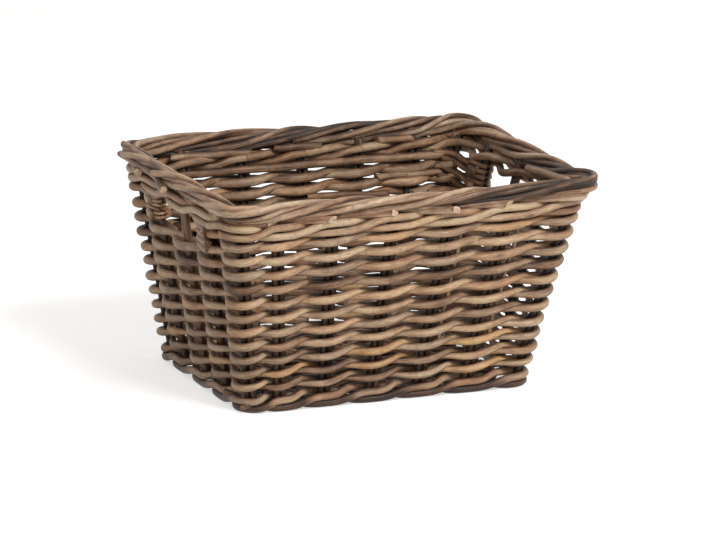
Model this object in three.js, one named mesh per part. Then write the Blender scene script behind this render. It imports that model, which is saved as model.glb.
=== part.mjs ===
import * as THREE from 'three';

// Driving dimensions in millimetres. The basket stands on z = 0, its long side lies along X,
// and the floor's middle is the origin.
const BASE_LENGTH = 298; // between the end walls' stakes, at the floor
const BASE_WIDTH = 246; // between the long walls' stakes, at the floor
const RIM_LENGTH = 384; // the same two sizes at the border's middle
const RIM_WIDTH = 334;
const HEIGHT = 230; // floor to the top of the border
const BASE_CORNER = 18; // radius of the stakes' line round a corner, at the floor
const RIM_CORNER = 24; // and at the border
const LEAN = 15; // how far the border's middle lies to the right of the floor's middle
const STAKE_ROD = 6.5; // thickness of one upright rod; they stand in pairs
const WEAVER = 6.4; // side of the square that stands for a round rod 7.2 mm thick
const BASE_WEAVER = 5.4;
const BORDER_ROD = 7.2;
const BORDER_SHIFT = 3; // how far the border's middle lies outside the stakes' line
const WALE_SWELL = 3; // how far a wale rod swells out between two stakes
const ROW_SPACING = 14.8; // least height of one woven row
const BASE_ROW_SPACING = 9.6; // least distance between two rods of the woven bottom
const GAP = 0.3; // between two pieces that touch

// Where the stakes stand along each wall, from 0 at one corner to 1 at the next,
// in the order front, right, back, left, which runs anticlockwise seen from above
const STAKE_SHARES = [
  [0.115, 0.275, 0.45, 0.62, 0.79],
  [0.26, 0.5, 0.76],
  [0.135, 0.31, 0.485, 0.665, 0.84],
  [0.24, 0.5, 0.74],
];
const ROWS_BESIDE_HOLES = 2;
const ROWS_PER_WEAVER = 3;
const BORDER_STEPS = 3; // straight steps of a border rod from one stake to the next

const COLOURS = { stake: '#3f2d24', weaver: '#8a6a50', wale: '#7c5f49', border: '#92745a', bottom: '#6d5442' };

// Sizes that follow from the driving ones
const STATIONS = STAKE_SHARES.flat().length + STAKE_SHARES.length;
const STAKE_HALF_WIDTH = STAKE_ROD;
const STAKE_HALF_THICKNESS = STAKE_ROD / 2;
const HALF_WEAVER = WEAVER / 2;
const BEND = STAKE_HALF_THICKNESS + GAP; // radius of a stake's bend at the foot
const CLEAR = WEAVER + GAP; // least distance between the middles of two weavers
const WEAVER_OUT = STAKE_HALF_THICKNESS + GAP + HALF_WEAVER; // from the stakes' line to a weaver's middle
const PAIR_RISE = CLEAR / 2; // from a row's middle to the middle of each of its two weavers
const FLAT_MARGIN = 0.6; // how far a weaver stays straight past the side of a stake

// The border is a rope of three double rods
const BORDER_HALF_THICKNESS = BORDER_ROD / 2;
const BORDER_HALF_FLAT = 0.64 * BORDER_ROD;
const BORDER_LAY =
  BORDER_HALF_THICKNESS + (GAP / 2 + BORDER_HALF_FLAT / 2) / Math.cos(Math.PI / 6);
const BORDER_RADIUS = Math.hypot(BORDER_LAY + BORDER_HALF_THICKNESS, BORDER_HALF_FLAT);
const BORDER_Z = HEIGHT - BORDER_RADIUS;
const STAKE_TOP = BORDER_Z - BORDER_RADIUS - GAP;

// The woven bottom: straight rods across, with weavers over and under them
const CROSS_Z = BASE_WEAVER + GAP + STAKE_HALF_THICKNESS;
const CROSS_TOP = CROSS_Z + STAKE_HALF_THICKNESS;
const WEAVER_LIFT = STAKE_HALF_THICKNESS + GAP + BASE_WEAVER / 2;

// Heights of a wale's rods: low and high where they pass outside two stakes in turn, inside where
// they pass behind the third, and turning in between two stakes
const SWELL_SHARE = CLEAR / (2 * (WEAVER_OUT + WALE_SWELL));
const CROSS_SHARE = CLEAR / (2 * WEAVER_OUT);
const WALE_STEP = CLEAR / (1 - SWELL_SHARE);

function footWale() {
  const low = HALF_WEAVER;
  const high = low + WALE_STEP;
  const inside = CROSS_TOP + GAP + HALF_WEAVER;
  const turn = low + (CLEAR + CROSS_SHARE * Math.max(0, inside - high)) / (1 - CROSS_SHARE);
  return { low, high, insideStart: inside, insideEnd: inside, turn: Math.max(turn, inside, high) };
}

function rimWale() {
  const high = STAKE_TOP - HALF_WEAVER;
  const low = high - WALE_STEP;
  return { low, high, insideStart: high, insideEnd: low, turn: high };
}

const FOOT_WALE = footWale();
const RIM_WALE = rimWale();

// Heights of the woven rows between the two wales
const ROW_HALF = PAIR_RISE + HALF_WEAVER;
const FIRST_ROW = FOOT_WALE.turn + HALF_WEAVER + GAP + ROW_HALF;
const LAST_ROW = RIM_WALE.low - HALF_WEAVER - GAP - ROW_HALF;
const ROW_STEPS = Math.max(
  ROWS_BESIDE_HOLES + 1,
  Math.floor((LAST_ROW - FIRST_ROW) / Math.max(ROW_SPACING, 2 * ROW_HALF + GAP)),
);
const ROW_PITCH = (LAST_ROW - FIRST_ROW) / ROW_STEPS;
const FULL_ROWS = ROW_STEPS + 1 - ROWS_BESIDE_HOLES;

// Station numbers, counted from the near left corner
const CORNERS = STAKE_SHARES.map((shares, side) => STAKE_SHARES.slice(0, side).flat().length + side);
const SEAM = CORNERS[2] + 3; // the weavers start and end inside the back wall

// The wall as a surface: a place round it, a height and a distance outwards from the stakes' line

function sizeAt(z) {
  const share = z / BORDER_Z;
  return {
    halfLength: THREE.MathUtils.lerp(BASE_LENGTH, RIM_LENGTH, share) / 2,
    halfWidth: THREE.MathUtils.lerp(BASE_WIDTH, RIM_WIDTH, share) / 2,
    corner: THREE.MathUtils.lerp(BASE_CORNER, RIM_CORNER, share),
  };
}

function wallLength(side, z) {
  const size = sizeAt(z);
  return 2 * (side % 2 === 0 ? size.halfLength : size.halfWidth);
}

// Distance round the wall, at height z, from the near left corner to each station in turn
function stationPlaces(z) {
  const { corner } = sizeAt(z);
  const quarter = (Math.PI / 4) * corner;
  const places = [];
  let start = 0;
  STAKE_SHARES.forEach((shares, side) => {
    const length = wallLength(side, z);
    places.push(start);
    shares.forEach((share) => places.push(start + quarter + length * share - corner));
    start += 2 * quarter + length - 2 * corner;
  });
  places.push(start);
  return places;
}

// Point on the wall at a distance round it from the near left corner
function pointAtPlace(place, z, out) {
  const { halfLength, halfWidth, corner } = sizeAt(z);
  const quarter = (Math.PI / 4) * corner;
  let rest = place;
  let side = 0;
  while (side < 3 && rest > wallLength(side, z) - 2 * corner + 2 * quarter) {
    rest -= wallLength(side, z) - 2 * corner + 2 * quarter;
    side += 1;
  }
  const straight = wallLength(side, z) - 2 * corner;
  const heading = (side * Math.PI) / 2;
  const half = straight / 2;
  const reach = side % 2 === 0 ? halfWidth : halfLength;
  let along;
  let away;
  if (rest < quarter) {
    const turn = (quarter - rest) / corner;
    along = -half - (corner + out) * Math.sin(turn);
    away = reach - corner + (corner + out) * Math.cos(turn);
  } else if (rest > quarter + straight) {
    const turn = (rest - quarter - straight) / corner;
    along = half + (corner + out) * Math.sin(turn);
    away = reach - corner + (corner + out) * Math.cos(turn);
  } else {
    along = rest - quarter - half;
    away = reach + out;
  }
  return new THREE.Vector3(
    along * Math.cos(heading) + away * Math.sin(heading) + (LEAN * z) / BORDER_Z,
    along * Math.sin(heading) - away * Math.cos(heading),
    z,
  );
}

// Point on the wall at a station number, which may lie between two stations or go round again
function wallPoint(station, z, out) {
  const turns = Math.floor(station / STATIONS);
  const local = station - turns * STATIONS;
  const first = Math.min(STATIONS - 1, Math.floor(local));
  const places = stationPlaces(z);
  const place = THREE.MathUtils.lerp(places[first], places[first + 1], local - first);
  return pointAtPlace(place, z, out);
}

// Distance along the wall from a station to the next one
function spacing(station, z) {
  const places = stationPlaces(z);
  const first = ((station % STATIONS) + STATIONS) % STATIONS;
  return places[first + 1] - places[first];
}

// Station number of a place some millimetres to the right (or, below 0, left) of a station
function beside(station, distance, z) {
  const gap = distance < 0 ? spacing(station - 1, z) : spacing(station, z);
  return station + distance / gap;
}

function isCorner(station) {
  return CORNERS.includes(((station % STATIONS) + STATIONS) % STATIONS);
}

// How far a weaver stays straight on one side of a stake: a quarter of the way to the next stake
function flatLength(gap) {
  return Math.min(Math.max(gap / 4, STAKE_HALF_WIDTH + FLAT_MARGIN), 0.45 * gap);
}

// Middle of a weaver that passes outside (side 1) or inside (side -1) a stake
function weaverOut(station, side, z) {
  if (side < 0 || !isCorner(station)) {
    return side * WEAVER_OUT;
  }
  const gap = Math.max(spacing(station, z), spacing(station - 1, z));
  const turn = flatLength(gap) / sizeAt(z).corner;
  return WEAVER_OUT + STAKE_HALF_WIDTH * Math.tan(turn / 2);
}

// Solids from rings of points

function solidFromRings(rings, closed) {
  const size = rings[0].length;
  const positions = rings.flat().flatMap((point) => [point.x, point.y, point.z]);
  const index = [];
  const last = closed ? rings.length : rings.length - 1;
  for (let ring = 0; ring < last; ring += 1) {
    for (let corner = 0; corner < size; corner += 1) {
      const next = (corner + 1) % size;
      const a = ring * size + corner;
      const b = ring * size + next;
      const c = ((ring + 1) % rings.length) * size + corner;
      const d = ((ring + 1) % rings.length) * size + next;
      index.push(a, c, b, b, c, d);
    }
  }
  if (!closed) {
    const end = (rings.length - 1) * size;
    for (let corner = 1; corner < size - 1; corner += 1) {
      index.push(0, corner, corner + 1);
      index.push(end, end + corner + 1, end + corner);
    }
  }
  const geometry = new THREE.BufferGeometry();
  geometry.setAttribute('position', new THREE.Float32BufferAttribute(positions, 3));
  geometry.setIndex(index);
  geometry.computeVertexNormals();
  return geometry;
}

// Signed volume, which is below zero where the faces look inwards
function volumeOf(geometry) {
  const { position } = geometry.attributes;
  const corners = [0, 1, 2].map(() => new THREE.Vector3());
  let volume = 0;
  for (let face = 0; face < geometry.index.count; face += 3) {
    corners.forEach((corner, turn) => corner.fromBufferAttribute(position, geometry.index.getX(face + turn)));
    volume += corners[0].dot(corners[1].cross(corners[2])) / 6;
  }
  return volume;
}

function faceOutwards(geometry) {
  if (volumeOf(geometry) < 0) {
    const { array } = geometry.index;
    for (let face = 0; face < array.length; face += 3) {
      [array[face + 1], array[face + 2]] = [array[face + 2], array[face + 1]];
    }
    geometry.computeVertexNormals();
  }
  return geometry;
}

function piece(name, colour, geometry) {
  const material = new THREE.MeshStandardMaterial({ color: COLOURS[colour], roughness: 0.75 });
  const mesh = new THREE.Mesh(faceOutwards(geometry), material);
  mesh.name = name;
  return mesh;
}

// Square section of a weaver in the wall's own directions. The side tells which way the weaver runs
// round the basket, and the lean tilts the section to a diagonal where the weaver turns back.
function weaverRing({ station, z, out, side = 1, lean = 0 }) {
  const corners = [[1, 1], [1, -1], [-1, -1], [-1, 1]];
  return corners.map(([up, across]) =>
    wallPoint(
      station + (across * lean * HALF_WEAVER) / spacing(Math.floor(station), z),
      z + up * HALF_WEAVER,
      out + across * side * HALF_WEAVER,
    ));
}

function weaverSolid(stops, closed) {
  return solidFromRings(stops.map(weaverRing), closed);
}

// Stops of a weaver along one stake: straight past it from its left to its right side
function stopsAtStake(station, face, row, fromZ, toZ, way = 1) {
  const left = flatLength(spacing(station - 1, row));
  const right = flatLength(spacing(station, row));
  const out = weaverOut(station, face, row);
  const stops = [{ station: beside(station, -left, row), z: fromZ, out, side: way }];
  if (isCorner(station)) {
    stops.push({ station, z: (fromZ + toZ) / 2, out, side: way });
  }
  stops.push({ station: beside(station, right, row), z: toZ, out, side: way });
  return stops;
}

// Rows of pairing: two weavers that change sides between every two stakes. From the outside each
// stroke rises to the right.

function rowHeight(row) {
  return FIRST_ROW + row * ROW_PITCH;
}

// A weaver climbs one row each time it passes the seam
function rowAt(station) {
  return Math.floor((station - SEAM) / STATIONS);
}

function trimmed(stops, start, end) {
  const kept = stops.filter((stop) => stop.station > start && stop.station < end);
  const heightAt = (station) => {
    const after = stops.findIndex((stop) => stop.station >= station);
    const before = stops[after - 1];
    const share = (station - before.station) / (stops[after].station - before.station);
    return { ...before, station, z: THREE.MathUtils.lerp(before.z, stops[after].z, share) };
  };
  return [heightAt(start), ...kept, heightAt(end)];
}

function pairingStops(first, last, parity) {
  const stops = [];
  for (let station = first; station <= last; station += 1) {
    const middle = rowHeight(rowAt(station));
    const face = (station - SEAM) % 2 === parity ? -1 : 1;
    const rise = face * PAIR_RISE;
    stops.push(...stopsAtStake(station, face, middle, middle - rise, middle + rise));
  }
  return stops;
}

function pairingWeavers() {
  const pieces = [];
  const count = Math.ceil(FULL_ROWS / ROWS_PER_WEAVER);
  for (let strand = 0; strand < 2; strand += 1) {
    for (let part = 0; part < count; part += 1) {
      const rows = Math.min(ROWS_PER_WEAVER, FULL_ROWS - part * ROWS_PER_WEAVER);
      const first = SEAM + strand + part * ROWS_PER_WEAVER * STATIONS;
      const isLast = part === count - 1;
      const last = first + rows * STATIONS - (isLast ? 2 : 0);
      const stops = pairingStops(first, last, strand);
      const row = rowHeight(rowAt(first));
      const solid = weaverSolid(trimmed(stops, beside(first, GAP, row), beside(last, -GAP, row)), false);
      pieces.push(piece(`pairing_weaver_${'ab'[strand]}${part + 1}`, 'weaver', solid));
    }
  }
  return pieces;
}

// Beside the hand holes the last two rows stop at a post, where both weavers turn back round it:
// one close to the post, the other round the outside of the first.

const NEAR_TURN = STAKE_HALF_WIDTH + GAP + HALF_WEAVER;
const FAR_TURN = NEAR_TURN + CLEAR;
const TURN_RISE = 0.8 * PAIR_RISE;

function holePanelStops(firstPost, lastPost, strand) {
  const lower = rowHeight(FULL_ROWS);
  const upper = rowHeight(FULL_ROWS + 1);
  const farAtEnd = strand === 1;
  const endTurn = farAtEnd ? FAR_TURN : NEAR_TURN;
  const startTurn = farAtEnd ? NEAR_TURN : FAR_TURN;
  const row = (height, way) => {
    const stops = [];
    for (let station = firstPost; station <= lastPost; station += 1) {
      const outsideBelow = (station - firstPost) % 2 === strand;
      const face = outsideBelow === way > 0 ? 1 : -1;
      const rise = face * PAIR_RISE;
      let fromZ = height - rise;
      let toZ = height + rise;
      if (station === firstPost && !farAtEnd) {
        fromZ = height + way * TURN_RISE;
      }
      if (station === lastPost && farAtEnd) {
        toZ = height + way * TURN_RISE;
      }
      const stakeStops = stopsAtStake(station, face, height, fromZ, toZ, way);
      if (station === firstPost) {
        stakeStops[0].station = beside(station, -startTurn, height);
      }
      if (station === lastPost) {
        stakeStops[stakeStops.length - 1].station = beside(station, endTurn, height);
      }
      stops.push(...stakeStops);
    }
    return way > 0 ? stops : stops.reverse();
  };
  const out = row(lower, 1);
  const back = row(upper, -1);
  const lean = strand === 0 ? 1 : -1;
  out[0].lean = -lean;
  out[out.length - 1].lean = lean;
  back[0].lean = lean;
  back[back.length - 1].lean = -lean;
  return [...out, ...back];
}

// The ring of stops is cut where it passes behind a stake, so that the weaver has two ends
function cutRing(stops, station, row) {
  const gap = GAP / spacing(station, row);
  const after = stops.findIndex((stop) => stop.side === 1 && stop.station > station);
  const before = stops[after - 1];
  const share = (station - before.station) / (stops[after].station - before.station);
  const z = THREE.MathUtils.lerp(before.z, stops[after].z, share);
  const start = { ...before, station: station + gap, z };
  const end = { ...before, station: station - gap, z };
  return [start, ...stops.slice(after), ...stops.slice(0, after), end];
}

function holePanels() {
  const pieces = [];
  const sides = [
    { name: 'front', first: CORNERS[3] + 3 - STATIONS, last: CORNERS[1] + 1 },
    { name: 'back', first: CORNERS[1] + 3, last: CORNERS[3] + 1 },
  ];
  sides.forEach(({ name, first, last }) => {
    for (let strand = 0; strand < 2; strand += 1) {
      const stops = holePanelStops(first, last, strand);
      const cut = first + 3 + strand;
      const solid = weaverSolid(cutRing(stops, cut, rowHeight(FULL_ROWS)), false);
      pieces.push(piece(`hole_weaver_${name}_${'ab'[strand]}`, 'weaver', solid));
    }
  });
  return pieces;
}

// A wale: three weavers, each outside two stakes and behind the third

function waleStops(first, count, heights) {
  const { low, high, insideStart, insideEnd, turn } = heights;
  const swellOut = WEAVER_OUT + WALE_SWELL;
  const stops = [];
  for (let step = 0; step <= count; step += 1) {
    const station = first + step;
    const middle = { station: station + 0.5 };
    if (step % 3 === 0) {
      stops.push(...stopsAtStake(station, -1, low, insideStart, insideEnd));
      stops.push({ ...middle, z: low, out: 0 });
    } else if (step % 3 === 1) {
      stops.push(...stopsAtStake(station, 1, low, low, low));
      stops.push({ ...middle, z: (low + high) / 2, out: swellOut });
    } else {
      stops.push(...stopsAtStake(station, 1, low, high, high));
      stops.push({ ...middle, z: turn, out: 0 });
    }
  }
  return stops.slice(0, -1);
}

function waleWeavers(name, heights) {
  const pieces = [];
  for (let strand = 0; strand < 3; strand += 1) {
    const first = SEAM - 1 + strand;
    const count = [STATIONS - 2, STATIONS + 1].find((steps) => (strand + steps) % STATIONS < 3);
    const stops = waleStops(first, count, heights);
    const ends = [beside(first, GAP, heights.low), beside(first + count, -GAP, heights.low)];
    pieces.push(piece(`${name}_wale_${strand + 1}`, 'wale', weaverSolid(trimmed(stops, ...ends), false)));
  }
  return pieces;
}

// Double rods of the stakes: a flat six-sided section swept along a line of points, its width
// always along one direction

function doubleRod(points, width, halfWidth = STAKE_HALF_WIDTH, halfThickness = STAKE_HALF_THICKNESS) {
  const flat = Math.max(halfWidth - 0.38 * STAKE_ROD, 0.4 * halfWidth);
  const section = [
    [halfWidth, 0], [flat, halfThickness], [-flat, halfThickness],
    [-halfWidth, 0], [-flat, -halfThickness], [flat, -halfThickness],
  ];
  const normals = points.slice(1).map((point, index) => {
    const run = point.clone().sub(points[index]);
    return width.clone().cross(run).normalize();
  });
  const rings = points.map((point, index) => {
    const before = normals[Math.max(index - 1, 0)];
    const after = normals[Math.min(index, normals.length - 1)];
    const mitre = before.clone().add(after).divideScalar(1 + before.dot(after));
    return section.map(([across, through]) =>
      point.clone().addScaledVector(width, across).addScaledVector(mitre, through));
  });
  return solidFromRings(rings, false);
}

// Line of a stake from its top down the wall and round the bend to the height of the bottom
function stakeLine(station) {
  const bendTop = wallPoint(station, CROSS_Z + BEND, 0);
  const inwards = wallPoint(station, CROSS_Z, -1).sub(wallPoint(station, CROSS_Z, 0));
  const points = [wallPoint(station, STAKE_TOP, 0), bendTop];
  [1, 2, 3].forEach((step) => {
    const angle = (step * Math.PI) / 6;
    const point = bendTop.clone().addScaledVector(inwards, BEND * (1 - Math.cos(angle)));
    point.z -= BEND * Math.sin(angle);
    points.push(point);
  });
  return { points, inwards };
}

// A stake of the long walls runs down the front, under the bottom's weavers and up the back
function crossStakes() {
  const fronts = STAKE_SHARES[0].length;
  return STAKE_SHARES[0].map((share, index) => {
    const front = stakeLine(1 + index).points;
    const back = stakeLine(CORNERS[3] - 1 - index).points.reverse();
    const line = [...front, ...back];
    return piece(`cross_stake_${index + 1}_of_${fronts}`, 'stake', doubleRod(line, new THREE.Vector3(1, 0, 0)));
  });
}

// A stake of the end walls or a corner ends in a short toe under the wale's inner rod. In a corner,
// where the wale cuts across, the toe is shorter.
function toedStake(name, station) {
  const { points, inwards } = stakeLine(station);
  const reach = isCorner(station) ? WEAVER_OUT - 1 : WEAVER_OUT + HALF_WEAVER;
  const toe = wallPoint(station, CROSS_Z, 0).addScaledVector(inwards, reach);
  const width = new THREE.Vector3(-inwards.y, inwards.x, 0);
  return piece(name, 'stake', doubleRod([...points, toe], width));
}

function toedStakes() {
  const pieces = [];
  CORNERS.forEach((station, index) => pieces.push(toedStake(`corner_stake_${index + 1}`, station)));
  [['right', 1], ['left', 3]].forEach(([name, side]) => {
    STAKE_SHARES[side].forEach((share, index) => {
      pieces.push(toedStake(`${name}_stake_${index + 1}`, CORNERS[side] + 1 + index));
    });
  });
  return pieces;
}

// The woven bottom

// It keeps clear of the foot wale's inner rods, on the straight walls and round the corners
const BOTTOM_INSET = WEAVER_OUT + HALF_WEAVER + GAP;
const CORNER_TRIM = 0.96; // the wale's rods cut the corners in straight steps
const BOTTOM_REACH = BASE_WIDTH / 2 - BOTTOM_INSET - BASE_WEAVER / 2;
const BOTTOM_ROWS_EACH_WAY = Math.max(
  2,
  Math.floor(BOTTOM_REACH / Math.max(BASE_ROW_SPACING, BASE_WEAVER + 4 * GAP)),
);
const BOTTOM_PITCH = BOTTOM_REACH / BOTTOM_ROWS_EACH_WAY;
const BOTTOM_WEAVERS = 4;
const LAST_TURNED_ROW = BOTTOM_PITCH * (BOTTOM_ROWS_EACH_WAY - 1);
const END_STICK_X = bottomLimit(LAST_TURNED_ROW) - BASE_WEAVER - GAP - STAKE_HALF_THICKNESS;

// How far from the middle a weaver may reach along X, at a distance y from the middle
function bottomLimit(y) {
  const { halfLength, halfWidth, corner } = sizeAt(0);
  const past = Math.max(0, y + BASE_WEAVER / 2 - (halfWidth - corner));
  const radius = CORNER_TRIM * (corner - BOTTOM_INSET);
  return halfLength - corner + Math.sqrt(Math.max(0, radius ** 2 - past ** 2));
}

function endSticks() {
  return [-1, 1].map((end) => {
    const reach = LAST_TURNED_ROW + BASE_WEAVER;
    const line = [-1, 1].map((way) => new THREE.Vector3(end * END_STICK_X, way * reach, CROSS_Z));
    const name = end < 0 ? 'end_stick_left' : 'end_stick_right';
    const width = new THREE.Vector3(1, 0, 0);
    return piece(name, 'bottom', doubleRod(line, width, STAKE_HALF_THICKNESS, STAKE_HALF_THICKNESS));
  });
}

// Stretches of X in which a row of the bottom stays over or under its rods, from left to right
function bottomStretches(y, end) {
  const past = STAKE_HALF_WIDTH + 1;
  const crosses = STAKE_SHARES[0].map((share, index) => {
    const front = wallPoint(1 + index, CROSS_Z, 0);
    const back = wallPoint(CORNERS[3] - 1 - index, CROSS_Z, 0);
    return THREE.MathUtils.mapLinear(y, front.y, back.y, front.x, back.x);
  });
  const stretches = crosses.map((x) => [x - past, x + past]);
  stretches[0][0] = -end;
  stretches[stretches.length - 1][1] = end;
  return stretches;
}

function bottomRing({ x, y, z, side, lean = 0 }) {
  const half = BASE_WEAVER / 2;
  return [[1, 1], [1, -1], [-1, -1], [-1, 1]].map(([up, across]) =>
    new THREE.Vector3(x + across * lean * half, y + across * side * half, z + up * half));
}

function bottomRow(row, way, end) {
  const y = row * BOTTOM_PITCH;
  const stops = [];
  bottomStretches(y, end).forEach(([left, right], index) => {
    const under = (Math.abs(row) + index) % 2 === 0;
    const z = CROSS_Z + (under ? -WEAVER_LIFT : WEAVER_LIFT);
    stops.push({ x: left, y, z, side: way }, { x: right, y, z, side: way });
  });
  return way > 0 ? stops : stops.reverse();
}

// Weavers that run to and fro and turn round the end sticks
function turningBottomWeavers() {
  const end = END_STICK_X + STAKE_HALF_THICKNESS + GAP + BASE_WEAVER / 2;
  const rows = 2 * BOTTOM_ROWS_EACH_WAY - 1;
  const pieces = [];
  for (let weaver = 0; weaver < BOTTOM_WEAVERS; weaver += 1) {
    const first = Math.round((weaver * rows) / BOTTOM_WEAVERS);
    const last = Math.round(((weaver + 1) * rows) / BOTTOM_WEAVERS) - 1;
    const stops = [];
    for (let row = first; row <= last; row += 1) {
      const way = (row - first) % 2 === 0 ? 1 : -1;
      const line = bottomRow(row + 1 - BOTTOM_ROWS_EACH_WAY, way, end);
      if (row > first) {
        line[0].lean = -1;
      }
      if (row < last) {
        line[line.length - 1].lean = -1;
      }
      stops.push(...line);
    }
    pieces.push(piece(`bottom_weaver_${weaver + 1}`, 'bottom', solidFromRings(stops.map(bottomRing), false)));
  }
  return pieces;
}

// The outermost weaver on each long side is straight and stops short of the end sticks
function edgeBottomWeavers() {
  const end = END_STICK_X - STAKE_HALF_THICKNESS - GAP;
  return [-1, 1].map((side) => {
    const stops = bottomRow(side * BOTTOM_ROWS_EACH_WAY, 1, end);
    const name = side < 0 ? 'bottom_edge_front' : 'bottom_edge_back';
    return piece(name, 'bottom', solidFromRings(stops.map(bottomRing), false));
  });
}

// The border: each double rod starts over a stake, winds once round the rope's middle and ends
// over the third stake to the right

function borderRing(station, angle) {
  const flat = BORDER_HALF_FLAT;
  const thick = BORDER_HALF_THICKNESS;
  const section = [[thick, flat], [0, BORDER_ROD], [-thick, flat], [-thick, -flat], [0, -BORDER_ROD], [thick, -flat]];
  return section.map(([away, across]) => {
    const radius = BORDER_LAY + away;
    const out = BORDER_SHIFT + radius * Math.cos(angle) - across * Math.sin(angle);
    const z = BORDER_Z + radius * Math.sin(angle) + across * Math.cos(angle);
    return wallPoint(station, z, out);
  });
}

function borderRods() {
  const pieces = [];
  const steps = 3 * BORDER_STEPS;
  for (let start = 0; start < STATIONS; start += 1) {
    const rings = [];
    for (let step = 0; step <= steps; step += 1) {
      let station = start + step / BORDER_STEPS;
      if (step === 0) {
        station = beside(start, GAP / 2, BORDER_Z);
      }
      if (step === steps) {
        station = beside(start + 3, -GAP / 2, BORDER_Z);
      }
      const angle = -Math.PI / 2 + ((station - start) * 2 * Math.PI) / 3;
      rings.push(borderRing(station, angle));
    }
    pieces.push(piece(`border_rod_${String(start + 1).padStart(2, '0')}`, 'border', solidFromRings(rings, false)));
  }
  return pieces;
}

const basket = new THREE.Group();
basket.name = 'wicker_basket';
basket.add(...crossStakes(), ...toedStakes());
basket.add(...endSticks(), ...turningBottomWeavers(), ...edgeBottomWeavers());
basket.add(...waleWeavers('foot', FOOT_WALE));
basket.add(...pairingWeavers(), ...holePanels());
basket.add(...waleWeavers('rim', RIM_WALE));
basket.add(...borderRods());

export default basket;
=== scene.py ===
"""Looks of a woven rattan storage basket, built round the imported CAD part.

Lengths are millimetres up to the moment a mesh is made, where they become metres. The wall is a
surface with three coordinates, as in the part's source: a station round it, a height, and a
distance outwards from the line of the stakes. Station 0 is the near left corner, and they count
on along the front wall.
"""

import math
import random

import bpy
import numpy as np
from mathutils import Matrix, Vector


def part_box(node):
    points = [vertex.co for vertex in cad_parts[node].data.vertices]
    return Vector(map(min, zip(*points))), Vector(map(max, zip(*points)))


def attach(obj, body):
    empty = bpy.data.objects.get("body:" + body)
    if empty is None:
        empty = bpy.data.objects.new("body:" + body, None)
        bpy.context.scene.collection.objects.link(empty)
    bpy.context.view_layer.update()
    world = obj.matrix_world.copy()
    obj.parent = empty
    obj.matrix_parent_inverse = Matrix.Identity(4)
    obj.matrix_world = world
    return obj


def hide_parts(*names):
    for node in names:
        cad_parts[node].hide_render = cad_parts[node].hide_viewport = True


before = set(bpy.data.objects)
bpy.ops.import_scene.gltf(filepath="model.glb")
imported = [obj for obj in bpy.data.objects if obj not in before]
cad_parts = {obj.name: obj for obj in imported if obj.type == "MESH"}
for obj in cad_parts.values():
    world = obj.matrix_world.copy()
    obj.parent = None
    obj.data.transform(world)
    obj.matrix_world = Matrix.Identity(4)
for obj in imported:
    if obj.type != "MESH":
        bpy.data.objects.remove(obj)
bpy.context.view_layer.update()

# ---- sizes, as in the part's source
BASE_LENGTH, RIM_LENGTH = 298, 384
BASE_WIDTH, RIM_WIDTH = 246, 334
BASE_CORNER, RIM_CORNER = 18, 24
LEAN = 15  # of the rim to the right
BORDER_Z, BORDER_SHIFT = 218.96, 3  # middle of the border's rope: height, distance outwards
STAKE_TOP = 212.5
CROSS_Z = 8.95  # middle of the cross stakes under the bottom
STAKE_BEND = 3.55
SHARES = [  # places of the stakes between the corners of the four walls
    [0.115, 0.275, 0.45, 0.62, 0.79],
    [0.26, 0.5, 0.76],
    [0.135, 0.31, 0.485, 0.665, 0.84],
    [0.24, 0.5, 0.74],
]
STATIONS = 20
CORNERS = [0, 6, 10, 16]
SEAM = 13  # where the weave goes up by a row
FIRST_ROW, ROW_PITCH, ROW_BOW = 28.81, 15.535, 0.05
FULL_ROWS = 9

# ---- sizes of the round rods
STAKE_R, WEAVER_R, WALE_R, FOOT_R = 3.5, 4.05, 4.2, 4.1
BORDER_R, BOTTOM_R, END_STICK_R = 3.75, 2.65, 3.2
WEAVER_OUT = 7.4  # from the line of the stakes to the middle of a weaver
FOOT_PUSH = 6.0  # bulge of the right foot
FOOT_PUSH_TOP, FOOT_PUSH_FROM, FOOT_PUSH_OVER = 75.0, 18.0, 120.0  # height; along x
SIDES = 12
AROUND = [(k, (k + 1) % SIDES) for k in range(SIDES)]
STEP = 4.0  # between the rings of a rod
MM = 0.001

rng = random.Random(4021)


# ---- the wall as a surface
# side of each station 0 to 20 and its share of that side; 20 is station 0 again
PLACES = [(side, share) for side, shares in enumerate(SHARES) for share in [0.0, *shares]]
SIDE_OF, SHARE_OF = (np.array(column) for column in zip(*PLACES, (4, 0.0)))
IS_CORNER = SHARE_OF == 0.0
LONG_BEFORE = np.array([0, 1, 1, 2, 2])
SHORT_BEFORE = np.array([0, 0, 1, 1, 2])


def wall_sizes(z):
    """Half length, half width and corner radius at height z."""
    share = z / BORDER_Z
    half_length = (BASE_LENGTH + (RIM_LENGTH - BASE_LENGTH) * share) / 2
    half_width = (BASE_WIDTH + (RIM_WIDTH - BASE_WIDTH) * share) / 2
    corner = BASE_CORNER + (RIM_CORNER - BASE_CORNER) * share
    return half_length, half_width, corner


def side_starts(side, z):
    """Distance round the wall at height z to where a side starts, and the steps of both sides."""
    half_length, half_width, corner = wall_sizes(z)
    quarter = math.pi / 4 * corner
    long_step = 2 * quarter + 2 * half_length - 2 * corner
    short_step = 2 * quarter + 2 * half_width - 2 * corner
    return LONG_BEFORE[side] * long_step + SHORT_BEFORE[side] * short_step, long_step, short_step


def station_place(index, z):
    """Distance round the wall at height z to station number index (0 to 20)."""
    half_length, half_width, corner = wall_sizes(z)
    side = SIDE_OF[index]
    start = side_starts(side, z)[0]
    length = np.where(side % 2 == 0, 2 * half_length, 2 * half_width)
    along = math.pi / 4 * corner + length * SHARE_OF[index] - corner
    return start + np.where(IS_CORNER[index], 0, along)


def same_shape(*values):
    return np.broadcast_arrays(*(np.asarray(value, float) for value in values))


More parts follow.
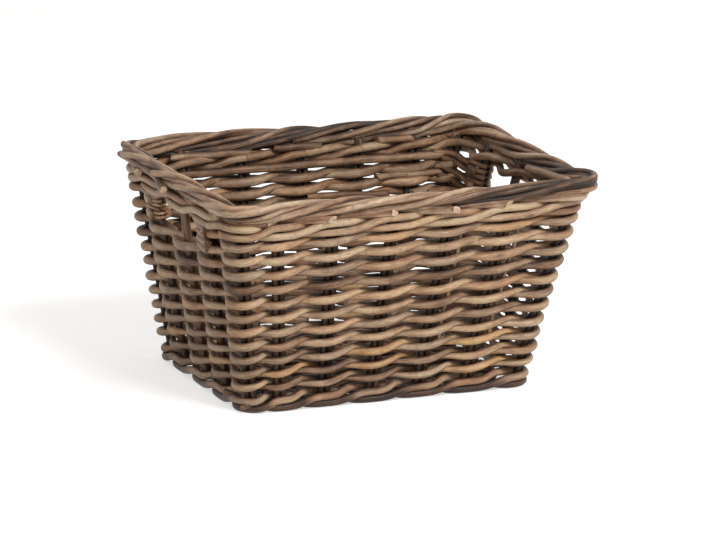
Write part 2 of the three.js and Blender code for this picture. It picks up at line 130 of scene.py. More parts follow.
def wall_points(station, z, out):
    """Points of the wall, one row of x, y, z for each station, height and distance outwards."""
    station, z, out = same_shape(station, z, out)
    local = np.mod(station, STATIONS)
    first = np.minimum(STATIONS - 1, np.floor(local)).astype(int)
    share = local - first
    place = station_place(first, z) * (1 - share) + station_place(first + 1, z) * share
    half_length, half_width, corner = wall_sizes(z)
    quarter = math.pi / 4 * corner
    _, long_step, short_step = side_starts(0, z)
    edges = np.stack([long_step, long_step + short_step, 2 * long_step + short_step])
    side = (place > edges).sum(axis=0)
    rest = place - side_starts(side, z)[0]
    even = side % 2 == 0
    straight = np.where(even, 2 * half_length, 2 * half_width) - 2 * corner
    reach = np.where(even, half_width, half_length)
    before = np.clip((quarter - rest) / corner, 0, None)
    after = np.clip((rest - quarter - straight) / corner, 0, None)
    turn = before + after
    sign = np.where(before > 0, -1, 1)
    middle = np.clip(rest - quarter, 0, straight) - straight / 2
    along = middle + sign * (corner + out) * np.sin(turn)
    away = reach - corner + (corner + out) * np.cos(turn)
    heading = side * math.pi / 2
    x = along * np.cos(heading) + away * np.sin(heading) + LEAN * z / BORDER_Z
    low = np.clip(1 - z / FOOT_PUSH_TOP, 0, 1)
    x = x + FOOT_PUSH * low * np.clip((x - FOOT_PUSH_FROM) / FOOT_PUSH_OVER, 0, 1)
    return np.stack([x, along * np.sin(heading) - away * np.cos(heading), z], axis=-1)


def span(station, z):
    """Distance along the wall from a station to the next one."""
    first = int(station) % STATIONS
    return float(station_place(first + 1, z) - station_place(first, z))


def beside(station, distance, z):
    """Station that lies some distance along the wall from a stake."""
    gap = span(station - 1, z) if distance < 0 else span(station, z)
    return station + distance / gap


def row_height(row):
    """Height of a row; the lower rows are beaten down closer than the upper ones."""
    steps = FULL_ROWS + 1
    share = row / steps
    return FIRST_ROW + ROW_PITCH * steps * (share + ROW_BOW * share * (share - 1))


def in_back_wall(u):
    """1 in the back wall, 0 in the other walls."""
    place = np.mod(u, STATIONS)
    return ease(place - 9.3) * ease(16.0 - place)


# ---- smooth lines
def ease(share):
    """Goes from 0 to 1 as share does, with no kink at either end."""
    share = np.clip(share, 0, 1)
    return share * share * (3 - 2 * share)


def bell(away, width):
    """1 in the middle, falling to 0 on both sides."""
    return np.exp(-((away / width) ** 2))


def at_places(data, place, wanted):
    """The columns of data, given at place, at the places wanted."""
    return np.stack([np.interp(wanted, place, column) for column in data.T], axis=1)


def length_along(points):
    """Distance from the first point to each one."""
    steps = np.linalg.norm(np.diff(points[:, :3], axis=0), axis=1)
    return np.concatenate([[0], np.cumsum(steps)])


def smooth(values, sigma):
    """Gaussian smoothing of rows of numbers at even steps, ends kept."""
    reach = int(3 * sigma) + 1
    kernel = np.exp(-0.5 * (np.arange(-reach, reach + 1) / sigma) ** 2)
    kernel /= kernel.sum()
    head = 2 * values[:1] - values[reach:0:-1]
    tail = 2 * values[-1:] - values[-2 : -reach - 2 : -1]
    padded = np.concatenate([head, values, tail])
    return np.stack([np.convolve(column, kernel, mode="valid") for column in padded.T], axis=1)


def resample(points, step):
    """Points at even steps along a polyline; extra columns are carried along."""
    place = length_along(points)
    count = max(8, int(round(place[-1] / step)) + 1)
    return at_places(points, place, np.linspace(0, place[-1], count))


def wobble(count, size, seed, wave=35.0):
    """Slow random wandering of a rod, three columns."""
    state = np.random.default_rng(seed)
    knots = max(4, int(count * STEP / wave) + 3)
    values = state.normal(0, size, (knots, 3))
    raw = at_places(values, np.arange(knots), np.linspace(0, knots - 1, count))
    return smooth(raw, 4.0) if count > 30 else raw


def through_stops(stops, sigma=1.6):
    """Even, smoothed samples (station, z, out) through a list of stops."""
    stops = np.array(stops, float)
    dense = []
    for a, b in zip(stops[:-1], stops[1:]):
        ends = wall_points([a[0], b[0]], [a[1], b[1]], [a[2], b[2]])
        steps = max(1, int(round(np.linalg.norm(np.diff(ends, axis=0)) / 3.0)))
        dense += [a + (b - a) * k / steps for k in range(steps)]
    dense.append(stops[-1])
    return smooth(np.array(dense), sigma)


# ---- rods
FIRST_JOINT, JOINT_GAP, LAST_JOINT = (20, 150), (75, 210), 8  # places along a rod
JOINT_RINGS = (-2.6, -1.3, -0.5, 0.5, 1.3, 2.6)  # close rings round a joint
JOINT_CLEAR = 3.2  # the even rings keep this far from it
JOINT_SWELL, JOINT_WIDE, SCAR_WIDE = 0.035, 1.5, 0.9
BEVEL_SHARE, BEVEL_DEPTH, HUB_DEPTH = 0.86, 0.35, 0.4  # the softened rim of a cut end
ATTRIBUTES = ("tone", "tint", "scar", "crest")  # of a point


def joint_marks(state, total):
    """Places of the joints of a rod of some length."""
    marks = []
    at = state.uniform(*FIRST_JOINT)
    while at < total - LAST_JOINT:
        marks.append(at)
        at += state.uniform(*JOINT_GAP)
    return marks


class Basketry:
    """Collects rods into one mesh."""

    def __init__(self):
        self.points, self.fibre, self.values, self.faces, self.pale = [], [], [], [], []
        self.count = 0

    def rod(self, path, radius, outward, tone, tint=0.5, girth=None, slant=(0.0, 0.0),
            joints=True, taper=(1.0, 1.0), wander=0.25, cut=(True, True), cut_turn=None,
            shade=None):
        """Adds a rod along path (n x 3).

        outward is the direction of its lit side, which the bark's painted light and shade keeps
        lightest, girth its thickness at each point, slant how far each end is cut askew and
        cut_turn which way, cut whether each end shows its pale pith, and shade a change of tone
        with height, used as painted shade.
        """
        seed = rng.randrange(1 << 30)
        state = np.random.default_rng(seed)
        girth = np.ones(len(path)) if girth is None else np.asarray(girth, float)
        data = resample(np.concatenate([path, outward, girth[:, None]], axis=1), STEP)
        ends = np.minimum(np.arange(len(data)), np.arange(len(data))[::-1]) / 4.0
        data[:, :3] += wobble(len(data), wander, seed) * np.clip(ends, 0, 1)[:, None]
        place = length_along(data)
        total = place[-1]
        marks = joint_marks(state, total) if joints else []
        wanted = [s for s in place if all(abs(s - mark) > JOINT_CLEAR for mark in marks)]
        wanted = np.array(sorted(wanted + [mark + d for mark in marks for d in JOINT_RINGS]))
        wanted = wanted[(wanted >= 0) & (wanted <= total)]
        data, place = at_places(data, place, wanted), wanted
        n = len(place)
        centre = data[:, :3]
        tangent = np.gradient(centre, axis=0)
        tangent /= np.linalg.norm(tangent, axis=1)[:, None]
        side = data[:, 3:6] - (data[:, 3:6] * tangent).sum(1)[:, None] * tangent
        side /= np.linalg.norm(side, axis=1)[:, None]
        other = np.cross(tangent, side)
        slow = wobble(n, 0.022, seed + 1, 60.0)
        size = radius * (taper[0] + (taper[1] - taper[0]) * place / total) * (1 + slow[:, 0])
        scar = np.zeros(n)
        tones = np.full(n, tone) if shade is None else tone + shade(centre[:, 2])
        drift = 0.0
        for mark in marks:
            strength = state.uniform(0.5, 1.0)
            size = size * (1 + JOINT_SWELL * strength * bell(place - mark, JOINT_WIDE))
            scar = np.maximum(scar, strength * bell(place - mark, SCAR_WIDE))
            step = state.normal(0, 0.05) - 0.25 * drift
            drift += step
            tones = tones + step / (1 + np.exp(np.clip(mark - place, -40, 40)))
        size = size * data[:, 6]
        oval = 1 + 0.5 * slow[:, 1]
        angle = np.arange(SIDES) / SIDES * 2 * math.pi
        ca, sa = np.cos(angle), np.sin(angle)
        rings = (
            centre[:, None]
            + (size * oval)[:, None, None] * ca[:, None] * side[:, None]
            + (size / oval)[:, None, None] * sa[:, None] * other[:, None]
        )
        turn = state.uniform(0, 2 * math.pi) if cut_turn is None else cut_turn
        for index, amount in zip((0, n - 1), slant):
            lean = amount * size[index] * np.cos(angle - turn)
            rings[index] += lean[:, None] * tangent[index]
        along = np.broadcast_arrays(ca * radius, sa * radius, place[:, None])
        fibre = np.stack(along, axis=-1) + state.uniform(-400, 400, 3)
        start = self.count
        self._add_points(rings.reshape(-1, 3), fibre.reshape(-1, 3), np.repeat(tones, SIDES), tint,
                         np.repeat(scar, SIDES), np.tile(ca, n))
        for a in range(start, start + (n - 1) * SIDES, SIDES):
            b = a + SIDES
            for k, m in AROUND:
                self._add_face((a + k, a + m, b + m, b + k), False)
        for index, sign, pale in ((0, -1, cut[0]), (n - 1, 1, cut[1])):
            out = sign * tangent[index]
            middle = rings[index].mean(0)
            inner = middle + (rings[index] - middle) * BEVEL_SHARE + out * BEVEL_DEPTH
            a, b = start + index * SIDES, self.count
            self._add_points(np.vstack([inner, middle + out * HUB_DEPTH]),
                             np.vstack([fibre[index], fibre[index].mean(0)]),
                             tones[index], tint, 0.0, 0.5)
            for k, m in AROUND:
                for face in ((a + m, a + k, b + k, b + m), (b + m, b + k, b + SIDES)):
                    self._add_face(face[::-1] if sign > 0 else face, pale)

    def _add_points(self, points, fibre, *values):
        """The values are one number, or one for each point, for each of ATTRIBUTES."""
        self.points.append(points)
        self.fibre.append(fibre)
        self.values.append([np.broadcast_to(value, len(points)) for value in values])
        self.count += len(points)

    def _add_face(self, corners, pale):
        self.faces.append(corners)
        self.pale.append(int(pale))

    def build(self, name, bark, node=None):
        """Makes one piece of the scene, in place of a node of the part or as an extra."""
        mesh = bpy.data.meshes.new(name)
        mesh.from_pydata((np.concatenate(self.points) * MM).tolist(), [], self.faces)
        mesh.materials.append(bark)
        mesh.materials.append(CUT)
        mesh.polygons.foreach_set("material_index", self.pale)
        mesh.polygons.foreach_set("use_smooth", [not pale for pale in self.pale])
        fibre = mesh.attributes.new("fibre", "FLOAT_VECTOR", "POINT")
        fibre.data.foreach_set("vector", np.concatenate(self.fibre).astype(np.float32).ravel())
        for label, values in zip(ATTRIBUTES, np.concatenate(self.values, axis=1)):
            layer = mesh.attributes.new(label, "FLOAT", "POINT")
            layer.data.foreach_set("value", values.astype(np.float32))
        mesh.update()
        piece = link_object(name, mesh)
        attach(piece, "root")
        if node:
            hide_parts(node)


def soft_line(*stops, sigma):
    """A smoothed polyline through a few points."""
    return smooth(resample(np.array(stops, float), 3.0), sigma)


def link_object(name, data):
    item = bpy.data.objects.new(name, data)
    bpy.context.scene.collection.objects.link(item)
    return item


def wall_rod(work, stations, heights, outs, radius, tone, core=None, **options):
    """A rod whose middle is given in the wall's own coordinates.

    Its lit side, which the bark's painted light and shade keeps lightest, faces outwards or, if a
    core (height, distance outwards) is given, away from it.
    """
    stations, heights, outs = same_shape(stations, heights, outs)
    path = wall_points(stations, heights, outs)
    if core is None:
        outward = wall_points(stations, heights, outs + 1.0) - path
    else:
        outward = path - wall_points(stations, core[0], core[1])
    work.rod(path, radius, outward, tone, **options)


# ---- materials
def srgb(*values):
    """Linear colour from 0 to 255 values."""
    shares = [v / 255 for v in values]
    return tuple(v / 12.92 if v <= 0.04045 else ((v + 0.055) / 1.055) ** 2.4 for v in shares)


def palette(*stops):
    """Places from 0 to 1 with their colours, given from 0 to 255."""
    return [(place, srgb(*colour)) for place, *colour in stops]


class Tree:
    """Short names for making nodes and joining them."""

    def __init__(self, owner):
        owner.use_nodes = True
        self.nodes = owner.node_tree.nodes
        self.links = owner.node_tree.links

    def feed(self, socket, source):
        """Joins another node's output to a socket, or sets its value."""
        if isinstance(source, bpy.types.NodeSocket):
            self.links.new(source, socket)
        elif socket.type == "RGBA":
            socket.default_value = (*source, 1.0)
        else:
            socket.default_value = source

    def fill(self, node, **inputs):
        """Joins or sets inputs of a node; _ stands for a blank in their names."""
        for label, source in inputs.items():
            self.feed(node.inputs[label.replace("_", " ")], source)
        return node

    def add(self, kind, **inputs):
        return self.fill(self.nodes.new(kind), **inputs)

    def attribute(self, label, output="Fac"):
        node = self.nodes.new("ShaderNodeAttribute")
        node.attribute_name = label
        return node.outputs[output]

    def fibre(self, across, along):
        """Coordinates that run with the rod, with their scales."""
        node = self.add("ShaderNodeMapping", Vector=self.attribute("fibre", "Vector"),
                        Scale=(across, across, along))
        return node.outputs["Vector"]

    def noise(self, across, along, detail, rough=0.55):
        node = self.add("ShaderNodeTexNoise", Vector=self.fibre(across, along), Scale=1.0,
                        Detail=detail, Roughness=rough)
        return node.outputs["Fac"]

    def math(self, operation, *sources):
        node = self.nodes.new("ShaderNodeMath")
        node.operation = operation
        for socket, source in zip(node.inputs, sources):
            self.feed(socket, source)
        return node.outputs[0]

    def spread(self, source, low, high, to_low=0.0, to_high=1.0):
        node = self.add("ShaderNodeMapRange", Value=source, From_Min=low, From_Max=high,
                        To_Min=to_low, To_Max=to_high)
        return node.outputs["Result"]

    def sway(self, noise, amount):
        return self.spread(noise, 0.3, 0.7, -amount, amount)

    def mix(self, share, first, second, blend="MIX"):
        node = self.nodes.new("ShaderNodeMix")
        node.data_type = "RGBA"
        node.blend_type = blend
        colours = [socket for socket in node.inputs if socket.type == "RGBA"]
        for socket, source in zip([node.inputs[0], *colours], (share, first, second)):
            self.feed(socket, source)
        return [socket for socket in node.outputs if socket.type == "RGBA"][0]

    def ramp(self, level, stops):
        node = self.add("ShaderNodeValToRGB", Fac=level)
        elements = node.color_ramp.elements
        while len(elements) > 1:
            elements.remove(elements[-1])
        for number, (place, colour) in enumerate(stops):
            element = elements[0] if number == 0 else elements.new(place)
            element.position = place
            element.color = (*colour, 1.0)
        return node.outputs["Color"]

    def bump(self, height, strength, distance):
        node = self.add("ShaderNodeBump", Height=height, Strength=strength, Distance=distance)
        return node.outputs["Normal"]

    def seen_rays(self):
        """1 for rays of the camera and for those that show the background in gloss or glass."""
        rays = self.nodes.new("ShaderNodeLightPath").outputs
        seen = self.math("MAXIMUM", rays["Is Camera Ray"], rays["Is Glossy Ray"])
        return self.math("MAXIMUM", seen, rays["Is Transmission Ray"])


def new_material(name):
    """A material, its tree and its shader."""
    material = bpy.data.materials.new(name)
    tree = Tree(material)
    return material, tree, tree.nodes["Principled BSDF"]


TINTS = palette(  # what the bark's colour is multiplied by, from grey to straw
    (0.0, 238, 240, 246), (0.35, 252, 250, 248), (0.6, 255, 246, 238), (0.82, 255, 236, 224),
    (1.0, 255, 239, 205),
)


def bark_material(name, colours, gloss=0.5, edge_shade=1.0):
    """Bark of a rod: broad mottling, lengthwise fibres, pores, joint scars, and painted shade at
    its sides, where it lies against its neighbours, with painted light on its outward crest.
    """
    material, tree, shader = new_material(name)
    broad = tree.noise(0.05, 0.018, 3.0)
    patches = tree.noise(0.16, 0.06, 4.0, 0.6)
    fibres = tree.noise(0.85, 0.03, 4.0, 0.62)
    fine = tree.noise(3.6, 0.16, 3.0, 0.65)
    pores = tree.noise(1.3, 0.55, 2.0, 0.7)
    smudge = tree.noise(0.13, 0.04, 5.0, 0.7)
    crest = tree.attribute("crest")
    face = tree.math("ABSOLUTE", crest)
    level = tree.attribute("tone")
    for change in (
        tree.sway(broad, 0.2), tree.sway(patches, 0.13), tree.sway(fibres, 0.17),
        # painted shade: darker at each rod's sides, where it meets its neighbours, lighter on its
        # faces
        tree.spread(face, 0.1, 1.0, -0.17 * edge_shade, 0.09 * edge_shade),
        # painted light and shade: the side facing outwards lighter, the side facing inwards darker
        tree.spread(crest, -1.0, 1.0, -0.09, 0.05),
    ):
        level = tree.math("ADD", level, change)
    hue = tree.math("ADD", tree.attribute("tint"), tree.sway(broad, -0.15))
    colour = tree.mix(1.0, tree.ramp(level, colours), tree.ramp(hue, TINTS), "MULTIPLY")
    dots = tree.spread(pores, 0.64, 0.74, 0.0, 0.7)
    rings = tree.math("MULTIPLY", tree.attribute("scar"), tree.spread(pores, 0.3, 0.7, 0.1, 0.6))
    for share, dark in (
        (tree.spread(smudge, 0.6, 0.74, 0.0, 0.65), srgb(48, 32, 22)),
        (tree.spread(fine, 0.42, 0.70, 0.0, 0.7), srgb(54, 36, 24)),
        (dots, srgb(38, 24, 15)),
        (rings, srgb(36, 22, 14)),
    ):
        colour = tree.mix(share, colour, dark)
    height = tree.math("MULTIPLY", fine, 0.55)
    height = tree.math("MULTIPLY_ADD", fibres, 0.9, height)
    height = tree.math("MULTIPLY_ADD", patches, 0.8, height)
    height = tree.math("SUBTRACT", height, tree.math("MULTIPLY", dots, 0.4))
    rough = tree.spread(fibres, 0.3, 0.75, gloss - 0.08, gloss + 0.16)
    tree.fill(shader, Base_Color=colour, Roughness=rough, Specular_IOR_Level=0.38,
              Normal=tree.bump(height, 0.55, 0.0005))
    return material


def cut_material(name):
    """Cut end of a rod: pale pith with open pores and a darker rim."""
    material, tree, shader = new_material(name)
    pores = tree.add("ShaderNodeTexVoronoi", Vector=tree.fibre(1.0, 0.0), Scale=1.9)
    depth = pores.outputs["Distance"]
    stain = tree.noise(0.3, 0.3, 4.0)
    pith = tree.mix(tree.spread(stain, 0.35, 0.68), srgb(222, 198, 168), srgb(176, 146, 116))
    dark = tree.spread(depth, 0.0, 0.24, 0.85, 0.0)
    tree.fill(shader, Base_Color=tree.mix(dark, pith, srgb(70, 48, 36)),
              Roughness=tree.spread(stain, 0.3, 0.7, 0.7, 0.9),
              Normal=tree.bump(depth, 0.6, 0.0004))
    return material


WEAVER_PALETTE = palette(
    (0.0, 42, 27, 18), (0.2, 88, 62, 45), (0.4, 134, 104, 80), (0.6, 171, 140, 113),
    (0.8, 199, 169, 139), (1.0, 222, 196, 160),
)
BORDER_PALETTE = palette(
    (0.0, 37, 24, 16), (0.2, 85, 61, 45), (0.4, 134, 105, 82), (0.6, 174, 145, 121),
    (0.8, 202, 175, 148), (1.0, 226, 203, 172),
)
STAKE_PALETTE = palette(
    (0.0, 30, 19, 12), (0.3, 62, 44, 32), (0.6, 106, 82, 64), (1.0, 158, 132, 106),
)
# the last figure is how strongly painted shade darkens the sides of each rod, 1 if not given
BARK = bark_material("rattan_bark", WEAVER_PALETTE, gloss=0.5, edge_shade=1.75)
DARK_BARK = bark_material("rattan_bark_dark", STAKE_PALETTE, gloss=0.52)
BORDER_BARK = bark_material("rattan_bark_border", BORDER_PALETTE, gloss=0.5, edge_shade=1.7)
CUT = cut_material("rattan_cut_end")


TONE_RANGES = (  # picks below this number, tones, tints
    (0.1, (0.14, 0.3), (0.1, 0.5)),
    (0.13, (0.66, 0.8), (0.85, 1.0)),
    (0.4, (0.46, 0.62), (0.05, 0.35)),
    (1.0, (0.5, 0.72), (0.4, 0.8)),
)


def rod_tone(kind="weaver"):
    """Random lightness and tint of one rod."""
    pick = rng.random()
    tones, tints = (0.1, 0.45), (0.3, 0.8)
    if kind == "weaver":
        tones, tints = next(row[1:] for row in TONE_RANGES if pick < row[0])
    return rng.uniform(*tones), rng.uniform(*tints)


# ---- stakes
TOE = 9.9  # how far a toed stake reaches inwards


def stake_line(station):
    """Points from the top of a stake down the wall and round its bend, and the way inwards."""
    line = wall_points(station, np.linspace(STAKE_TOP, CROSS_Z + STAKE_BEND, 40), 0.0)
    foot = line[-1]
    inwards = wall_points(station, CROSS_Z, -1.0) - wall_points(station, CROSS_Z, 0.0)
    inwards[2] = 0
    angle = np.arange(1, 6)[:, None] * math.pi / 10
    up = np.array([0, 0, 1.0])
    bend = foot + STAKE_BEND * (inwards * (1 - np.cos(angle)) - up * np.sin(angle))
    return np.concatenate([line, bend]), inwards


def stake_rods(name, node, line, outward, width):
    """The two rods of a stake, side by side."""
    work = Basketry()
    for side in (-1, 1):
        tone, tint = rod_tone("stake")
        if name == "left_pair_2":  # the palest stake of the photograph
            tone, tint = 0.8, 0.75
        work.rod(line + width * STAKE_R * side, STAKE_R * rng.uniform(0.95, 1.0), outward, tone,
                 tint, wander=0.15)
    work.build(name, DARK_BARK, node)


def make_cross_stakes():
    for index in range(5):
        front, _ = stake_line(1 + index)
        back, _ = stake_line(15 - index)
        line = np.concatenate([front, np.linspace(front[-1], back[-1], 60)[1:-1], back[::-1]])
        outward = np.tile((0.0, 0.0, -1.0), (len(line), 1))
        outward[: len(front) - 6] = (0, -1, 0)
        outward[6 - len(front) :] = (0, 1, 0)
        stake_rods(f"stake_pair_{index + 1}", f"cross_stake_{index + 1}_of_5", line,
                   smooth(outward, 2.0), np.array([1.0, 0, 0]))


def make_toed_stake(name, node, station):
    line, inwards = stake_line(station)
    toe = wall_points(station, CROSS_Z, 0.0) + inwards * TOE
    line = np.concatenate([line, np.linspace(line[-1], toe, 4)[1:]])
    outward = np.tile(-inwards, (len(line), 1))
    outward[-6:] = (0, 0, -1)
    width = np.array([-inwards[1], inwards[0], 0.0])
    stake_rods(name, node, line, smooth(outward, 2.0), width)


def make_stakes():
    make_cross_stakes()
    for index, station in enumerate(CORNERS):
        make_toed_stake(f"corner_pair_{index + 1}", f"corner_stake_{index + 1}", station)
    for label, first in (("right", 7), ("left", 17)):
        for index in range(3):
            name = f"{label}_pair_{index + 1}"
            make_toed_stake(name, f"{label}_stake_{index + 1}", first + index)


# ---- pairing
PAIR_LIFT = 1.5  # of a row's rods over its middle
PAIR_RISE, PAIR_FALL = 3.4, 0.9  # half of a stroke's rise at the foot, how much less higher up
# heights and how much lower the rows lie there in the back wall
BACK_DROP = ([120.0, 151.9, 167.9, 184.2], [0.0, 1.2, 3.8, 6.8])
OPEN_PLACE = 13.6  # the one loose place of the back wall, which lets light through to the front
# An outside stroke lies low over its stake and rises straight to the right; on the inside the rod
# comes down again. Places from one outside stroke to the next, and levels there.
WAVE = (
    [0, 0.25, 0.5, 0.57, 0.75, 1.0, 1.25, 1.5, 1.65, 1.78, 2.0],
    [-0.8, 0.1, 1.0, 0.85, -0.1, -0.7, -0.86, -0.8, -0.84, -0.9, -0.8],
)
SAMPLES = 20  # of a rod between two stations


def strand_girth(u, t, middle):
    """Thickness of a strand; it is pressed flat where it crosses its mate."""
    place = np.mod(u, STATIONS)
    upper = np.clip((middle - 110) / 40, 0, 1)
    girth = 1.15 - 0.3 * bell(t - 0.5, 0.2) + 0.04 * upper
    back = 0.2 - 0.17 * bell(place - OPEN_PLACE, 0.45) * (1 - upper)
    return girth + in_back_wall(u) * back + 0.12 * bell(place - 16.0, 0.6)


def pairing_samples(first, last, strand, row_of, jitter):
    """Middle line of one of the two strands, which change sides between every two stakes."""
    count = int(round((last - first) * SAMPLES)) + 1
    u = np.linspace(first, last, count)
    s = np.floor(u + 1e-9).astype(int)
    t = u - s
    low = np.array([row_height(row_of(k)) + jitter[k][0] for k in s])
    high = np.array([row_height(row_of(k + 1)) + jitter[k + 1][0] for k in s])
    middle = low + (high - low) * ease((t - 0.2) / 0.6)
    middle = middle - in_back_wall(u) * np.interp(middle, *BACK_DROP)
    face = np.where((s - SEAM) % 2 == strand, -1, 1)
    cross = np.clip((t - 0.1) / 0.8, 0, 1)
    cross = 0.55 * cross + 0.45 * ease(cross)
    swell_a = np.array([jitter[k][1] for k in s])
    swell_b = np.array([jitter[k + 1][1] for k in s])
    out = face * (WEAVER_OUT + swell_a) * (1 - cross) - face * (WEAVER_OUT + swell_b) * cross
    rise = smooth(np.interp(np.where(face > 0, t, t + 1), *WAVE)[:, None], 1.0)[:, 0]
    size = PAIR_RISE - PAIR_FALL * np.clip((middle - 50) / 80, 0, 1)
    return u, middle + PAIR_LIFT + size * rise, out, strand_girth(u, t, middle)


JOIN_BACK, JOIN_PAST, JOIN_IN = 0.16, (0.2, 0.34), 7.6  # how rods overlap: stations, mm inwards


def rods_of_weaver(work, samples, inside_at):
    """Cuts a long weaver into rods of natural length, joined behind stakes."""
    u, z, out, girth = samples
    edges = [u[0]]
    station = math.ceil(u[0]) + rng.randint(5, 11)
    while station < u[-1] - 4:
        if inside_at(station):
            edges.append(station)
            station += rng.randint(7, 15)
        else:
            station += 1
    edges.append(u[-1])
    for number, (a, b) in enumerate(zip(edges[:-1], edges[1:])):
        head = 0.0 if number == 0 else JOIN_BACK
        tail = 0.0 if number == len(edges) - 2 else rng.uniform(*JOIN_PAST)
        keep = (u >= a - head - 1e-9) & (u <= b + tail + 1e-9)
        place, height, away = u[keep], z[keep], out[keep]
        if tail:
            past = ease((place - (b - JOIN_BACK)) / 0.3)
            away = away * (1 - past) - past * (WEAVER_OUT + JOIN_IN)
            level = np.interp(b - 0.1, u, z) + rng.uniform(-1, 2)
            height = height * (1 - past) + past * level
        tone, tint = lower_row_tone(0.5 * (a + b))
        thick = rng.uniform(0.94, 1.04) * (0.82 + 0.22 * min(1.0, float(np.mean(height)) / 130))
        wall_rod(work, place, height, away, WEAVER_R * thick, tone, tint=tint, girth=girth[keep],
                 slant=(0.25, rng.uniform(0.2, 0.6)), wander=0.3)


def lower_row_tone(place):
    """Straw-coloured rods are common in the lowest rows."""
    if (place - SEAM) / STATIONS < 3 and rng.random() < 0.35:
        return rng.uniform(0.62, 0.78), rng.uniform(0.88, 1.0)
    return rod_tone()


def station_jitter(stations, size_z, size_out):
    """Small changes of height and distance outwards at each station."""
    return {k: (rng.gauss(0, size_z), abs(rng.gauss(0, size_out))) for k in stations}


def make_pairing():
    for strand, letter in enumerate("ab"):
        for part in range(3):
            first = SEAM + strand + part * 3 * STATIONS
            last = first + 3 * STATIONS - (2 if part == 2 else 0)
            jitter = station_jitter(range(260), 0.45, 0.35)
            line = pairing_samples(first, last, strand, lambda k: (k - SEAM) // STATIONS, jitter)
            work = Basketry()
            rods_of_weaver(work, line, lambda k: (k - SEAM) % 2 == strand)
            name = f"pairing_weaver_{letter}{part + 1}"
            work.build(f"woven_{name}", BARK, name)


# ---- panels beside the hand holes
POSTS = (  # station, side of the hole, thickness of each loop, its tone, how far it stands off
    ("left_front", 19, -1, [4.1] * 4, (0.42, 0.48, 0.38, 0.44), 15.0),
    ("right_front", 7, 1, [3.5] * 4, (0.5, 0.55, 0.45, 0.5), 0.0),
    ("right_rear", 9, -1, [3.1] * 5, (0.34, 0.4, 0.3, 0.36, 0.42), 0.0),
    ("left_rear", 17, 1, [2.0, 1.9, 2.0, 1.9, 2.0, 2.0, 3.9],
     (0.6, 0.66, 0.58, 0.68, 0.6, 0.64, 0.36), 0.0),
)
LOOPS_LOW, LOOPS_HIGH, LOOP_TAIL = 163.5, 194.0, 17.0


def panel_row(first, last, strand, row, work):
    """One of the two rods of a panel's row. Strand 0 is outside at the lower row's first post."""
    jitter = station_jitter(range(-30, 30), 0.4, 0.3)
    parity = int((first - SEAM) % 2 == (strand + row) % 2)
    u, z, out, girth = pairing_samples(first, last, parity, lambda k: FULL_ROWS + row, jitter)
    wall_rod(work, u, z - 0.6, out, WEAVER_R * 0.97, rod_tone()[0], tint=rng.uniform(0.2, 0.9),
             girth=girth, wander=0.2, cut=(False, False))


def post_loops(work, post, side, sizes, tones, far):
    """Rods bent round a post on the side of the hand hole, one above the other.

    Each comes from outside, turns round the post and runs back on the inside, a little higher.
    """
    pitch = (LOOPS_HIGH - LOOPS_LOW) / len(sizes)
    for number, (radius, tone) in enumerate(zip(sizes, tones)):
        z = LOOPS_LOW + pitch * (number + 0.5)
        lean = rng.uniform(0.05, 0.2) * pitch
        reach = 2 * STAKE_R + radius + rng.uniform(0.1, 0.9) + far * rng.uniform(0.8, 1.1)
        hug = STAKE_R + radius + 0.5
        plan = [  # distance along the wall from the post, distance outwards
            (-LOOP_TAIL, hug + 1.5), (-9.0, hug + 1.2), (0.0, hug), (4.5, hug * 0.95),
            (reach * 0.86, hug * 0.62), (reach, 0.0), (reach * 0.86, -hug * 0.62),
            (4.5, -hug * 0.95), (0.0, -hug), (-9.0, -hug - 1.0), (-LOOP_TAIL, -hug - 1.2),
        ]
        stops = []
        for step, (along, out) in enumerate(plan):
            share = step / (len(plan) - 1)
            sag = -0.12 * pitch * math.sin(math.pi * share)
            stops.append((beside(post, side * along, z), z + lean * (share - 0.5) + sag, out))
        wall_rod(work, *through_stops(stops, 0.9).T, radius, tone, tint=rng.uniform(0.3, 0.8),
                 wander=0.15, joints=False, slant=(0.5, 0.5), cut=(False, False))


def make_hole_panels():
    for name, first, last in (("front", -1, 7), ("back", 9, 17)):
        for strand, letter in enumerate("ab"):
            work = Basketry()
            for row in (0, 1):
                panel_row(first, last, strand, row, work)
            node = f"hole_weaver_{name}_{letter}"
            work.build(f"woven_{node}", BARK, node)
    for label, post, side, sizes, tones, far in POSTS:
        work = Basketry()
        post_loops(work, post, side, sizes, tones, far)
        work.build(f"post_loops_{label}", BARK)


# ---- wales
def flat_length(gap):
    """Half of the straight stretch of a wale over a stake."""
    return min(max(gap / 4, 7.1), 0.45 * gap)


def wale_stops(first, count, low, high, inside_start, inside_end, turn):
    """A rod that passes before two stakes and behind one, given for each height it lies at."""
    strokes = (  # heights at its start and end, distance outwards, then where it goes next
        (inside_start, inside_end, -WEAVER_OUT, low, 0),
        (low, low, WEAVER_OUT, (low + high) / 2, WEAVER_OUT + 2.4),
        (high, high, WEAVER_OUT, turn, 0),
    )
    stops = []
    for step in range(count + 1):
        station = first + step
        start, end, out, next_z, next_out = strokes[step % 3]
        before, after = (flat_length(span(k, low)) for k in (station - 1, station))
        stops += [
            (beside(station, -before, low), start, out),
            (beside(station, after, low), end, out),
            (station + 0.5, next_z, next_out),
        ]
    return stops[:-1]


# tones of the foot's three rods low down, kept dark as painted shade where they stand on the floor
FOOT_TONES = (-0.12, 0.0, -0.06)
RIM_TONES = (0.6, 0.54, 0.64)
RIM_TINTS = (0.45, 0.7, 0.3)


def foot_painted_shade(z):
    """Painted shade: the foot's strokes that stand on the floor are darker than the ones above
    them.
    """
    return 0.54 * ease((z - 7.0) / 5.5)


